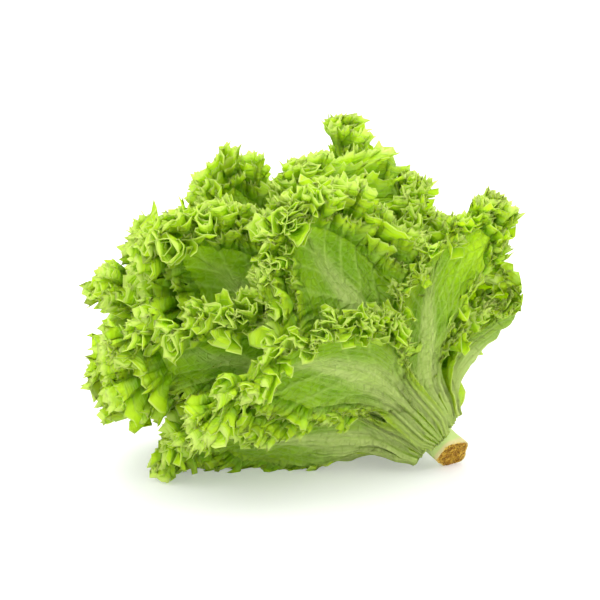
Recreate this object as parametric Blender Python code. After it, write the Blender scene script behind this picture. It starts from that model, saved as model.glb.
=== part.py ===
"""A head of curly leaf lettuce, cut at its stem and lying on its side. Metres, +Z up.

The head's axis rises from the cut stem at the right towards the upper left. Every leaf is a thin
sheet laid out along and across its own rib, at its own lean from the axis. The leaves are laid from
the heart outwards, and each one leans out wherever it would come too close to those inside it.
"""

import math
from collections import namedtuple

import bpy
import numpy as np

# The head as it lies. Lengths in metres, angles in degrees.
STEM_END = np.array((0.10275, -0.0079, 0.0085))
AXIS_RISE = 44.0
AXIS_YAW = 8.0

# Away from the stem the head is flatter from front to back than across, and its sides droop.
DEPTH_SHARE = 0.78
DEPTH_REACH = 0.100
DROOP_PER_METRE = 1.6
DROOP_FROM = 0.035

# The head's weight brings the arch of its lowest leaves down, most in the middle and near the table.
UNDERSIDE_DROP = 0.014
UNDERSIDE_MIDDLE = 0.0183
UNDERSIDE_REACH = 0.055
UNDERSIDE_HEIGHT = 0.040

# The table presses the lowest leaves flat over this height, and shaves the lowest points level.
TABLE_SOFT_HEIGHT = 0.006
TABLE_SHAVE = 0.0014

# The stem: its cut end faces right and to the front.
STEM_RADIUS = 0.0112
STEM_TIP_RADIUS = 0.0022
STEM_STRAIGHT = 0.018
STEM_LENGTH = 0.066
STEM_SIDES = 16
STEM_RINGS = (0.0, 0.003, 0.0065, 0.014, 0.024, 0.036, 0.052)
STEM_CUT_TILT = (0.10, 0.75)
STEM_CUT_REACH = 0.016
STEM_CUT_BULGE = 0.0012
STEM_SWELL = 0.06
STEM_SWELL_REACH = 0.006
STEM_LOBES = 3

# Every leaf's sheet, and how it leaves the stem.
EDGE_THICKNESS = 0.0008
LEAST_THICKNESS = 0.00064
RIB_THICKNESS = 0.0030
RIB_HALF_WIDTH = 0.0075
ROOT_GAP = 0.0010
ROOT_HEADING = 13.0
OPENING_LENGTH = 0.070
WRAP_LIMIT = math.radians(78.0)
RIB_REACH = 0.93

# A leaf's outline, by the share of its length: a narrow stalk that widens to a broad rounded fan.
ROOT_HALF_WIDTH = 0.0088
STALK_HALF_WIDTH = 0.0135
STALK_SHARE = 0.25
FAN_FROM = 0.20
FAN_FULL = 0.66

# The frill grows with the distance from the stem and towards the edge. Depths are shares of that distance.
FRILL_FROM = 0.045
FRILL_FULL = 0.135
FRILL_DEPTH = 0.046
FRILL_WAVES = 14
FRILL_WANDER = 0.8
WANDER_WAVES = 3
FOLD_DEPTH = 0.022
FOLD_WAVES = 4.5
EDGE_ROLL = 0.030

# The nest that each leaf is laid over: a grid of azimuths and of distances from a point on the axis
# that is this far behind the stem's cut end. Each cell holds the lean of the outermost leaf there.
NEST_CENTRE = 0.060
NEST_AZIMUTHS = 180
NEST_STEP = 0.003
NEST_DISTANCES = 120
NEST_SAMPLES = 30
LEAF_GAP = 0.0012
LAYING_SAMPLES = 4
LAYING_ROUNDS = 12
LAYING_SPREAD = 0.6
LAYING_ERROR = 0.00001

# Points along the edge, and the levels from the rib, 0, to the edge, 1. A level keeps one point of so many.
EDGE_POINTS = 56
LEVELS = ((0.0, 2), (0.42, 2), (0.78, 1), (1.0, 1))

GREEN = (0.20, 0.42, 0.035, 1.0)
STEM_BROWN = (0.42, 0.24, 0.06, 1.0)

# Root is the height on the stem. Azimuth 0 is the upper right side, 90 the front and 180 the side on
# the table. Swing is added to it towards the tip, curl to the lean, and sag is how far the tip hangs
# below where it would grow. A leaf whose flat is 0 is wrapped round the head, and one whose flat is 1
# spreads straight out sideways, turned about its rib by twist. Width is half of the leaf's width.
Leaf = namedtuple("Leaf", "name root azimuth swing lean curl sag flat twist length width")
LEAVES = (
    Leaf("outer_leaf_1", 0.017, 72, 36, 48, 10, 0.018, 0.3, 0, 0.228, 0.052),
    Leaf("outer_leaf_2", 0.018, 34, -14, 56, 8, 0.000, 1.0, 50, 0.162, 0.070),
    Leaf("outer_leaf_3", 0.018, 128, 18, 43, 4, 0.028, 0.4, 0, 0.198, 0.064),
    Leaf("outer_leaf_4", 0.018, 172, 4, 44, 2, 0.000, 0.4, 0, 0.178, 0.058),
    Leaf("outer_leaf_5", 0.017, -134, -10, 44, 4, 0.006, 0.4, 0, 0.195, 0.062),
    Leaf("outer_leaf_6", 0.018, -94, -14, 48, 8, 0.020, 0.4, 0, 0.195, 0.068),
    Leaf("outer_leaf_7", 0.017, -48, -6, 52, 10, 0.010, 0.6, 0, 0.180, 0.066),
    Leaf("outer_leaf_8", 0.018, -42, 0, 86, 14, 0.000, 1.0, 0, 0.112, 0.052),
    Leaf("middle_leaf_1", 0.029, 58, 0, 34, 8, 0.000, 0.3, 10, 0.215, 0.062),
    Leaf("middle_leaf_2", 0.029, 102, 20, 32, 10, 0.010, 0.2, 0, 0.232, 0.064),
    Leaf("middle_leaf_3", 0.029, 146, 10, 30, 5, 0.008, 0.2, 0, 0.232, 0.062),
    Leaf("middle_leaf_4", 0.029, 196, 0, 30, 4, 0.010, 0.2, 0, 0.232, 0.064),
    Leaf("middle_leaf_5", 0.029, -118, -12, 32, 8, 0.010, 0.2, 0, 0.225, 0.062),
    Leaf("middle_leaf_6", 0.029, -70, -8, 35, 10, 0.000, 0.2, 0, 0.205, 0.062),
    Leaf("middle_leaf_7", 0.029, -14, -4, 40, 10, 0.000, 0.3, 0, 0.170, 0.060),
    Leaf("inner_leaf_1", 0.041, 20, 0, 19, 8, 0.000, 0.0, 0, 0.195, 0.056),
    Leaf("inner_leaf_2", 0.041, 92, 8, 19, 8, 0.000, 0.0, 0, 0.225, 0.056),
    Leaf("inner_leaf_3", 0.041, 164, 6, 18, 6, 0.000, 0.0, 0, 0.224, 0.056),
    Leaf("inner_leaf_4", 0.041, 236, -6, 19, 6, 0.000, 0.0, 0, 0.222, 0.056),
    Leaf("inner_leaf_5", 0.041, -34, 0, 35, 1, 0.000, 0.0, 0, 0.208, 0.034),
    Leaf("heart_leaf_1", 0.052, 40, 0, 8, 4, 0.000, 0.0, 0, 0.203, 0.040),
    Leaf("heart_leaf_2", 0.052, 160, 0, 8, 4, 0.000, 0.0, 0, 0.208, 0.040),
    Leaf("heart_leaf_3", 0.052, 280, 0, 8, 4, 0.000, 0.0, 0, 0.203, 0.040),
)


def unit(vector):
    return vector / np.linalg.norm(vector)


def head_axes():
    """The axis, the direction of azimuth 0 and the direction of azimuth 90."""
    rise, yaw = math.radians(AXIS_RISE), math.radians(AXIS_YAW)
    axis = np.array((-math.cos(rise) * math.cos(yaw), math.cos(rise) * math.sin(yaw), math.sin(rise)))
    front = unit(np.cross((0.0, 0.0, 1.0), axis))
    front = front if front[1] < 0 else -front
    upper_right = unit(np.cross(front, axis))
    upper_right = upper_right if upper_right[2] > 0 else -upper_right
    return axis, upper_right, front


AXIS, UPPER_RIGHT, FRONT = head_axes()


def smooth(t):
    t = np.clip(t, 0.0, 1.0)
    return t * t * (3.0 - 2.0 * t)


def settle(points):
    """Lets the head droop at its sides and under its arch, and presses flat what meets the table."""
    points = points.copy()
    side = np.maximum(np.abs(points[:, 1]) - DROOP_FROM, 0.0)
    points[:, 2] -= DROOP_PER_METRE * side**2
    off_middle = np.abs(points[:, 0] - UNDERSIDE_MIDDLE) / UNDERSIDE_REACH
    points[:, 2] -= UNDERSIDE_DROP * smooth(1.0 - off_middle) * np.exp(-points[:, 2] / UNDERSIDE_HEIGHT)
    low = points[:, 2] < TABLE_SOFT_HEIGHT
    depth = (points[low, 2] - TABLE_SOFT_HEIGHT) / TABLE_SOFT_HEIGHT
    points[low, 2] = TABLE_SOFT_HEIGHT * np.exp(depth)
    points[:, 2] += EDGE_THICKNESS / 2 - TABLE_SHAVE
    return points


def in_world(points):
    """Puts head coordinates (towards azimuth 0, towards azimuth 90, along the axis) where the head lies."""
    away = smooth(np.linalg.norm(points, axis=1) / DEPTH_REACH)[:, None]
    depth = 1.0 - (1.0 - DEPTH_SHARE) * away
    turned = points[:, :1] * UPPER_RIGHT + depth * points[:, 1:2] * FRONT + points[:, 2:] * AXIS
    return settle(STEM_END + turned)


def stem_radius(height):
    taper = smooth((height - STEM_STRAIGHT) / (STEM_LENGTH - STEM_STRAIGHT))
    return STEM_RADIUS + (STEM_TIP_RADIUS - STEM_RADIUS) * taper


def half_width(share, widest):
    """A leaf's half width at this share of its length."""
    stalk = ROOT_HALF_WIDTH + (STALK_HALF_WIDTH - ROOT_HALF_WIDTH) * smooth(share / STALK_SHARE)
    fan = smooth((share - FAN_FROM) / (FAN_FULL - FAN_FROM))
    crown = np.maximum(share - FAN_FULL, 0.0) / (1.0 - FAN_FULL)
    return (stalk + (widest - stalk) * fan) * np.sqrt(np.clip(1.0 - crown**2, 0.0, 1.0))


def edge_outline(leaf, count):
    """(across, along) of points up one side from the root to the tip, closer together in the frill."""
    share = np.linspace(0.0, 1.0, 801) ** 0.5
    across, along = half_width(share, leaf.width), share * leaf.length
    step = np.hypot(np.diff(across), np.diff(along))
    density = 0.4 + 0.6 * smooth((share[1:] - 0.12) / 0.25)
    travelled = np.concatenate(([0.0], np.cumsum(step * density)))
    wanted = np.linspace(0.0, travelled[-1], count)
    return np.interp(wanted, travelled, across), np.interp(wanted, travelled, along)


def rib_curve(leaf):
    """(distance along the rib, radius from the axis, height along it, heading) down the middle of a leaf."""
    along = np.linspace(0.0, 1.15 * leaf.length, 240)
    opened = smooth(along / OPENING_LENGTH)
    root = min(ROOT_HEADING, leaf.lean)
    heading = np.radians(root + (leaf.lean - root) * opened + leaf.curl * (along / leaf.length) ** 2)
    step = along[1]
    radius = stem_radius(leaf.root) + ROOT_GAP + RIB_THICKNESS / 2 + np.cumsum(np.sin(heading)) * step
    height = leaf.root + np.cumsum(np.cos(heading)) * step
    return along, radius, height, heading


def frill_lift(seed, distance, level, turn):
    """How far the frill, the folds and the rolled edge stand out. turn runs round the edge from 0 to 1."""
    frilled = smooth((distance - FRILL_FROM) / (FRILL_FULL - FRILL_FROM)) * distance
    start = np.random.default_rng(seed).uniform(0.0, 2.0 * math.pi, 3)
    wander = FRILL_WANDER * np.sin(2.0 * math.pi * WANDER_WAVES * turn + start[0])
    frill = np.sin(2.0 * math.pi * FRILL_WAVES * turn + start[1] + wander)
    fold = np.sin(2.0 * math.pi * FOLD_WAVES * turn + start[2])
    return frilled * (FRILL_DEPTH * level**2.2 * frill + FOLD_DEPTH * level * fold + EDGE_ROLL * level**3)


def leaf_surface(leaf, seed, across, along, level, turn):
    """Head coordinates of points of a leaf's middle surface."""
    stations, radii, heights, headings = rib_curve(leaf)
    radius = np.interp(along, stations, radii)
    height = np.interp(along, stations, heights)
    heading = np.interp(along, stations, headings)
    wrap = WRAP_LIMIT * np.tanh(across / (radius * WRAP_LIMIT))
    lift = frill_lift(seed, np.hypot(radius, height), level, turn)
    radius = np.maximum(radius + lift * np.cos(heading), STEM_TIP_RADIUS)
    height = height - lift * np.sin(heading)

    azimuth = np.radians(leaf.azimuth + leaf.swing * (along / leaf.length) ** 2)
    wrapped = radius * np.exp(1j * (azimuth + wrap))
    spread = (radius + 1j * across * np.exp(1j * math.radians(leaf.twist))) * np.exp(1j * azimuth)
    placed = wrapped + leaf.flat * smooth(along / OPENING_LENGTH) * (spread - wrapped)
    sag = leaf.sag * np.clip(along / leaf.length, 0.0, 1.0) ** 3
    down = -np.array((UPPER_RIGHT[2], FRONT[2], AXIS[2]))
    return np.stack((placed.real, placed.imag, height), axis=1) + sag[:, None] * down


def leaf_rows(leaf):
    """A leaf's points as (across, along, level, turn), and rows of their numbers from the rib to the edge.

    A row runs up one side and down the other, and the rib's row has the same points on both sides.
    """
    half = EDGE_POINTS // 2
    edge_across, edge_along = edge_outline(leaf, half + 1)
    rib_along = RIB_REACH * leaf.length * (np.arange(half + 1) / half) ** 0.95
    points, rows = [], []
    for level, kept in LEVELS:
        first = len(points)
        for side, end in ((-1.0, 0.0), (1.0, 1.0)):
            stations = list(range(0, half + 1, kept))
            if side > 0:
                stations = stations[-2::-1] if level > 0.0 else []
            for station in stations:
                along = (1.0 - level) * rib_along[station] + level * edge_along[station]
                turn = end - side * station / EDGE_POINTS
                points.append((side * level * edge_across[station], along, level, turn))
        row = list(range(first, len(points)))
        rows.append(row if level > 0.0 else row + row[-2::-1])
    return np.array(points), rows


def stitched(inner, outer):
    """Triangles between two rows. The outer row has as many steps as the inner one, or twice as many."""
    triangles = []
    for i in range(len(inner) - 1):
        a, b = inner[i], inner[i + 1]
        if len(inner) == len(outer):
            triangles += [(a, outer[i], outer[i + 1]), (a, outer[i + 1], b)]
        else:
            c, d, e = outer[2 * i : 2 * i + 3]
            triangles += [(a, c, d), (a, d, b), (b, d, e)]
    return triangles


def leaf_sheet(leaf, seed):
    """(points, triangles, rim, thickness at each point) of a leaf's middle surface."""
    columns, rows = leaf_rows(leaf)
    across, along, level, turn = columns.T
    points = leaf_surface(leaf, seed, across, along, level, turn)
    triangles = []
    for inner, outer in zip(rows, rows[1:]):
        triangles += stitched(inner, outer)
    rim = rows[-1] + [row[-1] for row in rows[-2:0:-1]] + [row[0] for row in rows[:-1]]
    share = np.clip(along / leaf.length, 0.0, 1.0)
    rib = np.exp(-((across / RIB_HALF_WIDTH) ** 2)) * (1.0 - share) ** 1.3
    return points, np.array(triangles), rim, EDGE_THICKNESS + RIB_THICKNESS * rib


def polar(points):
    """(distance from the nest's centre, lean from the axis, azimuth) of head coordinates."""
    radius, height = np.hypot(points[:, 0], points[:, 1]), points[:, 2] + NEST_CENTRE
    return np.hypot(radius, height), np.arctan2(radius, height), np.arctan2(points[:, 1], points[:, 0])


def from_polar(distance, lean, azimuth):
    radius, height = distance * np.sin(lean), distance * np.cos(lean) - NEST_CENTRE
    return np.stack((radius * np.cos(azimuth), radius * np.sin(azimuth), height), axis=1)


def even_weights(steps):
    """The corners' weights for points spread evenly over a triangle."""
    pairs = [(i, j) for i in range(steps + 1) for j in range(steps + 1 - i)]
    return np.array([(i, j, steps - i - j) for i, j in pairs]) / steps


def sampled(points, triangles, thickness, steps):
    """Points spread over the triangles, and half the thickness at each."""
    weights = even_weights(steps)
    half = (weights @ thickness[triangles].T).T.ravel() / 2
    return np.einsum("sw,twc->tsc", weights, points[triangles]).reshape(-1, 3), half


def cells(distance, azimuth):
    column = np.floor(azimuth / (2.0 * math.pi) * NEST_AZIMUTHS).astype(int) % NEST_AZIMUTHS
    return column, np.clip((distance / NEST_STEP).astype(int), 0, NEST_DISTANCES - 1)


def bare_stem_nest():
    """The lean of the stem's own surface, the same at every azimuth."""
    heights = np.linspace(0.0, STEM_LENGTH, 400)
    radii = stem_radius(heights)
    from_centre = heights + NEST_CENTRE
    distances = (np.arange(NEST_DISTANCES) + 0.5) * NEST_STEP
    lean = np.interp(distances, np.hypot(from_centre, radii), np.arctan2(radii, from_centre), right=0.0)
    return np.tile(lean, (NEST_AZIMUTHS, 1))


def widened(nest):
    """The nest with each cell raised to the highest of its neighbours."""
    wide = np.maximum.reduce([np.roll(nest, shift, axis=0) for shift in (-1, 0, 1)])
    padded = np.pad(wide, ((0, 0), (1, 1)), mode="edge")
    return np.maximum.reduce([padded[:, :-2], wide, padded[:, 2:]])


def raised(values, triangles, wanted):
    """The values at the triangles' corners, each at least as high as its triangles want."""
    values = values.copy()
    for corner in range(3):
        np.maximum.at(values, triangles[:, corner], wanted)
    return values


def lay_over(nest, points, triangles, thickness):
    """Leans a leaf out wherever it would come closer than the gap to the leaves inside it."""
    limit = widened(nest)
    for _ in range(LAYING_ROUNDS):
        samples, half = sampled(points, triangles, thickness, LAYING_SAMPLES)
        distance, lean, azimuth = polar(samples)
        short = limit[cells(distance, azimuth)] * distance + half + LEAF_GAP - lean * distance
        short = np.maximum(short, 0.0).reshape(len(triangles), -1).max(axis=1)
        if short.max() < LAYING_ERROR:
            break
        push = raised(np.zeros(len(points)), triangles, short)
        for _ in range(2):
            push = raised(push, triangles, LAYING_SPREAD * push[triangles].mean(axis=1))
        distance, lean, azimuth = polar(points)
        points = from_polar(distance, lean + push / distance, azimuth)
    return points


def add_to_nest(nest, points, triangles, thickness):
    samples, half = sampled(points, triangles, thickness, NEST_SAMPLES)
    distance, lean, azimuth = polar(samples)
    np.maximum.at(nest, cells(distance, azimuth), lean + half / distance)


def point_normals(points, triangles):
    corner = points[triangles]
    face = np.cross(corner[:, 1] - corner[:, 0], corner[:, 2] - corner[:, 0])
    normals = np.zeros_like(points)
    for i in range(3):
        np.add.at(normals, triangles[:, i], face)
    return normals / np.linalg.norm(normals, axis=1)[:, None]


def thicken(points, triangles, rim, thickness):
    """A closed sheet: the two faces are split into triangles alike, and a rim joins them."""
    offset = point_normals(points, triangles) * thickness[:, None] / 2
    upper, lower = points + offset, points - offset
    for face, other in ((upper, lower), (lower, upper)):
        below = face[:, 2] < other[:, 2]
        face[below, 2] = np.maximum(face[below, 2], 0.0)
        other[below, 2] = np.maximum(other[below, 2], face[below, 2] + LEAST_THICKNESS)
    count = len(points)
    faces = [tuple(t) for t in triangles]
    faces += [tuple(count + i for i in reversed(t)) for t in triangles]
    for a, b in zip(rim, rim[1:] + rim[:1]):
        faces += [(b, a, count + a), (b, count + a, count + b)]
    return np.concatenate((upper, lower)), faces


def stem_mesh():
    """A short tapering stem with a slanted, uneven cut end."""
    angles = np.linspace(0.0, 2.0 * math.pi, STEM_SIDES, endpoint=False)
    sideways = np.cos(angles)[:, None] * UPPER_RIGHT + np.sin(angles)[:, None] * FRONT
    points = []
    for height in STEM_RINGS:
        swell = STEM_SWELL * math.exp(-((height / STEM_SWELL_REACH) ** 2))
        radius = stem_radius(height) * (1.0 + swell * np.cos(STEM_LOBES * angles + 0.6))
        slant = radius * (STEM_CUT_TILT[0] * np.cos(angles) + STEM_CUT_TILT[1] * np.sin(angles))
        level = height + slant * max(0.0, 1.0 - height / STEM_CUT_REACH)
        points.append(STEM_END + level[:, None] * AXIS + radius[:, None] * sideways)
    points.append([STEM_END + STEM_CUT_BULGE * AXIS, STEM_END + STEM_LENGTH * AXIS])
    points = np.concatenate(points)
    points[:, 2] = np.maximum(points[:, 2], 0.0)
    cut, tip = len(points) - 2, len(points) - 1
    last = (len(STEM_RINGS) - 1) * STEM_SIDES
    faces = []
    for i in range(STEM_SIDES):
        j = (i + 1) % STEM_SIDES
        faces += [(cut, i, j), (last + i, tip, last + j)]
        for a in range(0, last, STEM_SIDES):
            b = a + STEM_SIDES
            faces += [(a + i, b + i, b + j), (a + i, b + j, a + j)]
    return points, faces


def facing_out(points, faces):
    """The same faces, turned over if the body they close is inside out."""
    corner = points[np.array(faces)]
    volume = np.einsum("ij,ij->i", corner[:, 0], np.cross(corner[:, 1], corner[:, 2])).sum()
    return faces if volume > 0 else [tuple(reversed(f)) for f in faces]


def material(name, colour, roughness):
    made = bpy.data.materials.new(name)
    made.use_nodes = True
    shader = made.node_tree.nodes["Principled BSDF"]
    shader.inputs["Base Color"].default_value = colour
    shader.inputs["Roughness"].default_value = roughness
    shader.inputs["Metallic"].default_value = 0.0
    return made


def add_object(name, points, faces, finish):
    mesh = bpy.data.meshes.new(name)
    mesh.from_pydata([tuple(p) for p in points], [], facing_out(points, faces))
    mesh.validate()
    mesh.shade_smooth()
    mesh.materials.append(finish)
    made = bpy.data.objects.new(name, mesh)
    bpy.context.scene.collection.objects.link(made)
    return made


def build():
    for old in list(bpy.data.objects):
        bpy.data.objects.remove(old)
    green = material("leaf_green", GREEN, 0.45)
    brown = material("stem_brown", STEM_BROWN, 0.7)
    points, faces = stem_mesh()
    add_object("stem", points, faces, brown)
    nest = bare_stem_nest()
    for seed, leaf in reversed(list(enumerate(LEAVES))):
        points, triangles, rim, thickness = leaf_sheet(leaf, seed)
        points = lay_over(nest, points, triangles, thickness)
        add_to_nest(nest, points, triangles, thickness)
        points, faces = thicken(in_world(points), triangles, rim, thickness)
        add_object(leaf.name, points, faces, green)


build()
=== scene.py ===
# %% [markdown]
# # A head of curly leaf lettuce
#
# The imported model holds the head's form: a short stem and 23 waved leaves, each a closed sheet. Here
# every leaf is made again on the same form with a fine frill, side veins and a thick pale rib, and the
# stem gets its rough brown cut. The photograph shows the head lying on its side on white, with the
# stem at the right.

import math
from collections import namedtuple

import bpy
import numpy as np
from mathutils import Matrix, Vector


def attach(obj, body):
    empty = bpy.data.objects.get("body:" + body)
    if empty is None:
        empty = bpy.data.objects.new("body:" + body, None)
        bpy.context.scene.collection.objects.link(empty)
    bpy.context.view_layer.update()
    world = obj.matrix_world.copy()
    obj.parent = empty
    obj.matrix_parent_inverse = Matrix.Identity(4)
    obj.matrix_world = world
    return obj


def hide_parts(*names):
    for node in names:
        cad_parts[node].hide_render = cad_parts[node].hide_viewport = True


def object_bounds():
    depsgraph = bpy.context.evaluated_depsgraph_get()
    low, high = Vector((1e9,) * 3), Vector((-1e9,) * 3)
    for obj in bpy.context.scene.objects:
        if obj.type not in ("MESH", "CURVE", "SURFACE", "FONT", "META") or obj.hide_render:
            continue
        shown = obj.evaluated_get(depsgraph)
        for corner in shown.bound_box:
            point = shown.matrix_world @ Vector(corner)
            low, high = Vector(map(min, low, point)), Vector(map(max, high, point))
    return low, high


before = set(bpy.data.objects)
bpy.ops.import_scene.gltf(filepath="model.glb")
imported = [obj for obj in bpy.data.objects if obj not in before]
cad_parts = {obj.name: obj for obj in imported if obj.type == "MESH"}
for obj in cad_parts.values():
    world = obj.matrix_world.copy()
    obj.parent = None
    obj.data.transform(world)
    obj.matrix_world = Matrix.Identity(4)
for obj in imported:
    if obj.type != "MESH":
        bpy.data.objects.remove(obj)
CAD_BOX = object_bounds()
print("packed model:", len(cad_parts), "nodes, box", CAD_BOX)

# %% [markdown]
# ## The head's own measures
#
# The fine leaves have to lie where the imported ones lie, so they are grown by the same rule from the
# same few numbers: where the stem ends, how the head leans, and one row for each leaf. Copying the
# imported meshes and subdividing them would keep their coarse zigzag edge, while the rule can be sampled
# as finely as wanted.

# %% Measures of the head, in metres and degrees
FULL_TURN = 2.0 * math.pi
STEM_END = np.array((0.10275, -0.0079, 0.0085))
AXIS_RISE = 44.0
AXIS_YAW = 8.0
DEPTH_SHARE = 0.78
DEPTH_REACH = 0.100
DROOP_PER_METRE = 1.6
DROOP_FROM = 0.035
UNDERSIDE_DROP = 0.014
UNDERSIDE_MIDDLE = 0.0183
UNDERSIDE_REACH = 0.055
UNDERSIDE_HEIGHT = 0.040
TABLE_SOFT_HEIGHT = 0.006
TABLE_SHAVE = 0.0014

STEM_RADIUS = 0.0112
STEM_TIP_RADIUS = 0.0022
STEM_STRAIGHT = 0.018
STEM_LENGTH = 0.066
STEM_CUT_TILT = (0.10, 0.75)
STEM_CUT_REACH = 0.016
STEM_SWELL = 0.06
STEM_SWELL_REACH = 0.006
STEM_LOBES = 3

EDGE_THICKNESS = 0.0008
RIB_THICKNESS = 0.0030
RIB_HALF_WIDTH = 0.0075
ROOT_GAP = 0.0010
ROOT_HEADING = 13.0
OPENING_LENGTH = 0.070
WRAP_LIMIT = math.radians(78.0)
RIB_REACH = 0.93

ROOT_HALF_WIDTH = 0.0088
STALK_HALF_WIDTH = 0.0135
STALK_SHARE = 0.25
FAN_FROM = 0.20
FAN_FULL = 0.66

FRILL_FROM = 0.045
FRILL_FULL = 0.135
FRILL_DEPTH = 0.046
FRILL_WAVES = 14
FRILL_WANDER = 0.8
WANDER_WAVES = 3
FOLD_DEPTH = 0.022
FOLD_WAVES = 4.5
EDGE_ROLL = 0.030

NEST_CENTRE = 0.060
NEST_AZIMUTHS = 180
NEST_STEP = 0.003
NEST_DISTANCES = 120
NEST_SAMPLES = 30
LEAF_GAP = 0.0012
LAYING_SAMPLES = 4
LAYING_ROUNDS = 12
LAYING_SPREAD = 0.6
LAYING_ERROR = 0.00001

# The rows of a coarse leaf: their level, from 0 at the rib to 1 at the edge, and which of the edge's
# points they keep, where 2 is every second one.
COARSE_EDGE_POINTS = 56
COARSE_LEVELS = ((0.0, 2), (0.42, 2), (0.78, 1), (1.0, 1))

# Each leaf: its place on the stem, its azimuth and how far it swings round, how far it leans out and
# curls, how far its tip sags, how flat and how twisted its blade is, its length and its half width.
Leaf = namedtuple("Leaf", "name root azimuth swing lean curl sag flat twist length width")
LEAVES = (
    Leaf("outer_leaf_1", 0.017, 72, 36, 48, 10, 0.018, 0.3, 0, 0.228, 0.052),
    Leaf("outer_leaf_2", 0.018, 34, -14, 56, 8, 0.000, 1.0, 50, 0.162, 0.070),
    Leaf("outer_leaf_3", 0.018, 128, 18, 43, 4, 0.028, 0.4, 0, 0.198, 0.064),
    Leaf("outer_leaf_4", 0.018, 172, 4, 44, 2, 0.000, 0.4, 0, 0.178, 0.058),
    Leaf("outer_leaf_5", 0.017, -134, -10, 44, 4, 0.006, 0.4, 0, 0.195, 0.062),
    Leaf("outer_leaf_6", 0.018, -94, -14, 48, 8, 0.020, 0.4, 0, 0.195, 0.068),
    Leaf("outer_leaf_7", 0.017, -48, -6, 52, 10, 0.010, 0.6, 0, 0.180, 0.066),
    Leaf("outer_leaf_8", 0.018, -42, 0, 86, 14, 0.000, 1.0, 0, 0.112, 0.052),
    Leaf("middle_leaf_1", 0.029, 58, 0, 34, 8, 0.000, 0.3, 10, 0.215, 0.062),
    Leaf("middle_leaf_2", 0.029, 102, 20, 32, 10, 0.010, 0.2, 0, 0.232, 0.064),
    Leaf("middle_leaf_3", 0.029, 146, 10, 30, 5, 0.008, 0.2, 0, 0.232, 0.062),
    Leaf("middle_leaf_4", 0.029, 196, 0, 30, 4, 0.010, 0.2, 0, 0.232, 0.064),
    Leaf("middle_leaf_5", 0.029, -118, -12, 32, 8, 0.010, 0.2, 0, 0.225, 0.062),
    Leaf("middle_leaf_6", 0.029, -70, -8, 35, 10, 0.000, 0.2, 0, 0.205, 0.062),
    Leaf("middle_leaf_7", 0.029, -14, -4, 40, 10, 0.000, 0.3, 0, 0.170, 0.060),
    Leaf("inner_leaf_1", 0.041, 20, 0, 19, 8, 0.000, 0.0, 0, 0.195, 0.056),
    Leaf("inner_leaf_2", 0.041, 92, 8, 19, 8, 0.000, 0.0, 0, 0.225, 0.056),
    Leaf("inner_leaf_3", 0.041, 164, 6, 18, 6, 0.000, 0.0, 0, 0.224, 0.056),
    Leaf("inner_leaf_4", 0.041, 236, -6, 19, 6, 0.000, 0.0, 0, 0.222, 0.056),
    Leaf("inner_leaf_5", 0.041, -34, 0, 35, 1, 0.000, 0.0, 0, 0.208, 0.034),
    Leaf("heart_leaf_1", 0.052, 40, 0, 8, 4, 0.000, 0.0, 0, 0.203, 0.040),
    Leaf("heart_leaf_2", 0.052, 160, 0, 8, 4, 0.000, 0.0, 0, 0.208, 0.040),
    Leaf("heart_leaf_3", 0.052, 280, 0, 8, 4, 0.000, 0.0, 0, 0.203, 0.040),
)
print("leaves to make:", len(LEAVES))

# %% [markdown]
# ## From the head's own coordinates to the table
#
# A leaf is easiest to describe round the stem: how far out, at which azimuth, how high along the axis.
# One function turns those coordinates into the lying head's place, lets the sides droop and presses
# the lowest leaves on to the table.

# %% The head's axes and the way to the table
def unit(vector):
    return vector / np.linalg.norm(vector)


def head_axes():
    """The axis, the direction of azimuth 0 and the direction of azimuth 90."""
    rise, yaw = math.radians(AXIS_RISE), math.radians(AXIS_YAW)
    axis = np.array((-math.cos(rise) * math.cos(yaw), math.cos(rise) * math.sin(yaw), math.sin(rise)))
    front = unit(np.cross((0.0, 0.0, 1.0), axis))
    front = front if front[1] < 0 else -front
    upper_right = unit(np.cross(front, axis))
    upper_right = upper_right if upper_right[2] > 0 else -upper_right
    return axis, upper_right, front


AXIS, UPPER_RIGHT, FRONT = head_axes()


def smooth(t):
    t = np.clip(t, 0.0, 1.0)
    return t * t * (3.0 - 2.0 * t)


def settle(points):
    """Lets the head droop at its sides and under its arch, and presses flat what meets the table."""
    points = points.copy()
    side = np.maximum(np.abs(points[:, 1]) - DROOP_FROM, 0.0)
    points[:, 2] -= DROOP_PER_METRE * side**2
    off_middle = np.abs(points[:, 0] - UNDERSIDE_MIDDLE) / UNDERSIDE_REACH
    points[:, 2] -= UNDERSIDE_DROP * smooth(1.0 - off_middle) * np.exp(-points[:, 2] / UNDERSIDE_HEIGHT)
    low = points[:, 2] < TABLE_SOFT_HEIGHT
    depth = (points[low, 2] - TABLE_SOFT_HEIGHT) / TABLE_SOFT_HEIGHT
    points[low, 2] = TABLE_SOFT_HEIGHT * np.exp(depth)
    points[:, 2] += EDGE_THICKNESS / 2 - TABLE_SHAVE
    return points


def in_world(points):
    """Puts head coordinates (towards azimuth 0, towards azimuth 90, along the axis) where the head lies."""
    away = smooth(np.linalg.norm(points, axis=1) / DEPTH_REACH)[:, None]
    depth = 1.0 - (1.0 - DEPTH_SHARE) * away
    turned = points[:, :1] * UPPER_RIGHT + depth * points[:, 1:2] * FRONT + points[:, 2:] * AXIS
    return settle(STEM_END + turned)


print("axis", AXIS.round(3), "front", FRONT.round(3))

# %% [markdown]
# ## One leaf's surface
#
# A lettuce leaf is a narrow stalk that opens into a broad fan, and its edge is longer than its blade
# can hold flat, so it ruffles. The surface is a function of two numbers, how far along the rib and how
# far towards the edge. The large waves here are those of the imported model.

# %% The rule of one leaf
OUTLINE_SAMPLES = 801
ROOT_DENSITY = 0.4
DENSE_FROM = 0.12
DENSE_REACH = 0.25
RIB_OVERRUN = 1.15
RIB_SAMPLES = 240
FRILL_POWER = 2.2


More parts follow.
